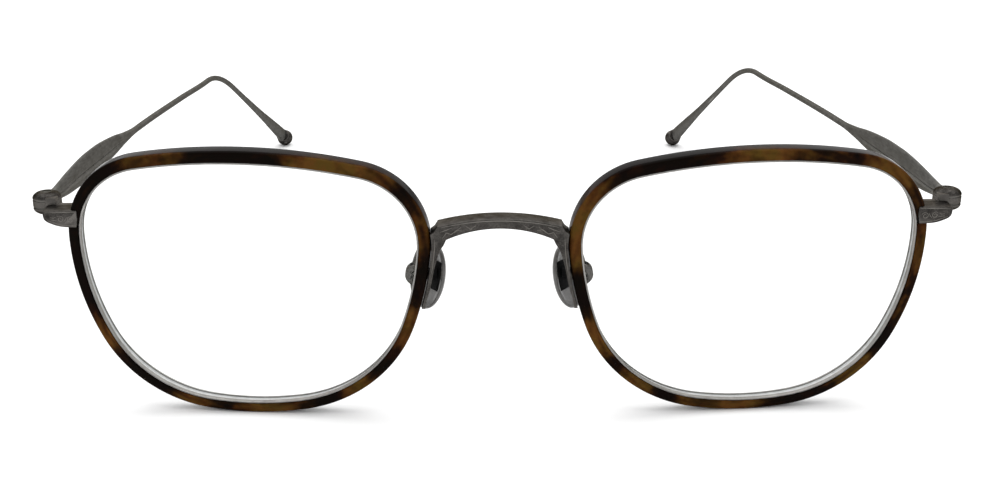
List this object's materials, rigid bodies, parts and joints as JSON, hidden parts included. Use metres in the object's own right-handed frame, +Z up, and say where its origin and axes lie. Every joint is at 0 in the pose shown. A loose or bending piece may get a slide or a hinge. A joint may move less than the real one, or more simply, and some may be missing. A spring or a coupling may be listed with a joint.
{
  "type": "full-rim eyeglasses",
  "caption": "Eyeglasses with acetate-covered metal rims, an arched metal bridge, rocking nose pads and slim metal temples with ball tips that fold on screw hinges.",
  "frame": {"origin": "on the plane that the glasses stand on, below the middle of their bounding box, temples open", "axes": "+X to the right of someone who looks at the front of the glasses; the pieces named right are on the +X side, which is the wearer's left. +Y from the front back along the temples, +Z up. The glasses stand on the lower edges of both rims and on both temple tips."},
  "size_m": [0.1284, 0.1432, 0.0397],
  "materials": {
    "pewter": "antique satin",
    "tortoise": "polished, mottled",
    "lens": "clear, polished",
    "nose_pad": "glossy",
    "pad_core": "matte",
    "screw": "satin"
  },
  "bodies": {
    "front": {"bridge": "pewter", "eyewire_left": "pewter", "eyewire_right": "pewter", "rim_cover_left": "tortoise", "rim_cover_right": "tortoise", "lens_left": "lens", "lens_right": "lens", "endpiece_left": "pewter", "endpiece_right": "pewter", "hinge_front_left": "pewter", "hinge_front_right": "pewter", "hinge_washers_left": "screw", "hinge_washers_right": "screw", "hinge_screw_left": "screw", "hinge_screw_right": "screw", "pad_arm_left": "pewter", "pad_arm_right": "pewter", "pad_box_left": "pewter", "pad_box_right": "pewter", "pad_screw_left": "screw", "pad_screw_right": "screw"},
    "temple_left": {"hinge_leaf_left": "pewter", "temple_left": "pewter", "tip_cap_left": "pewter"},
    "temple_right": {"hinge_leaf_right": "pewter", "temple_right": "pewter", "tip_cap_right": "pewter"},
    "pad_left": {"nose_pad_left": "nose_pad", "pad_core_left": "pad_core"},
    "pad_right": {"nose_pad_right": "nose_pad", "pad_core_right": "pad_core"}
  },
  "joints": [
    {"name": "temple_left_fold", "type": "hinge", "parent": "front", "child": "temple_left", "pos_m": [-0.0623, -0.06362, 0.03032], "axis": [0, -0.0375, -0.9993], "range_deg": [0, 84]},
    {"name": "temple_right_fold", "type": "hinge", "parent": "front", "child": "temple_right", "pos_m": [0.0623, -0.06362, 0.03032], "axis": [0, 0.0375, 0.9993], "range_deg": [0, 70]},
    {"name": "pad_left_rock", "type": "hinge", "parent": "front", "child": "pad_left", "pos_m": [-0.0116, -0.06461, 0.01982], "axis": [0, 0.997, 0.0777], "range_deg": [-12, 12]},
    {"name": "pad_right_rock", "type": "hinge", "parent": "front", "child": "pad_right", "pos_m": [0.0116, -0.06461, 0.01982], "axis": [0, 0.997, 0.0777], "range_deg": [-12, 12]}
  ]
}
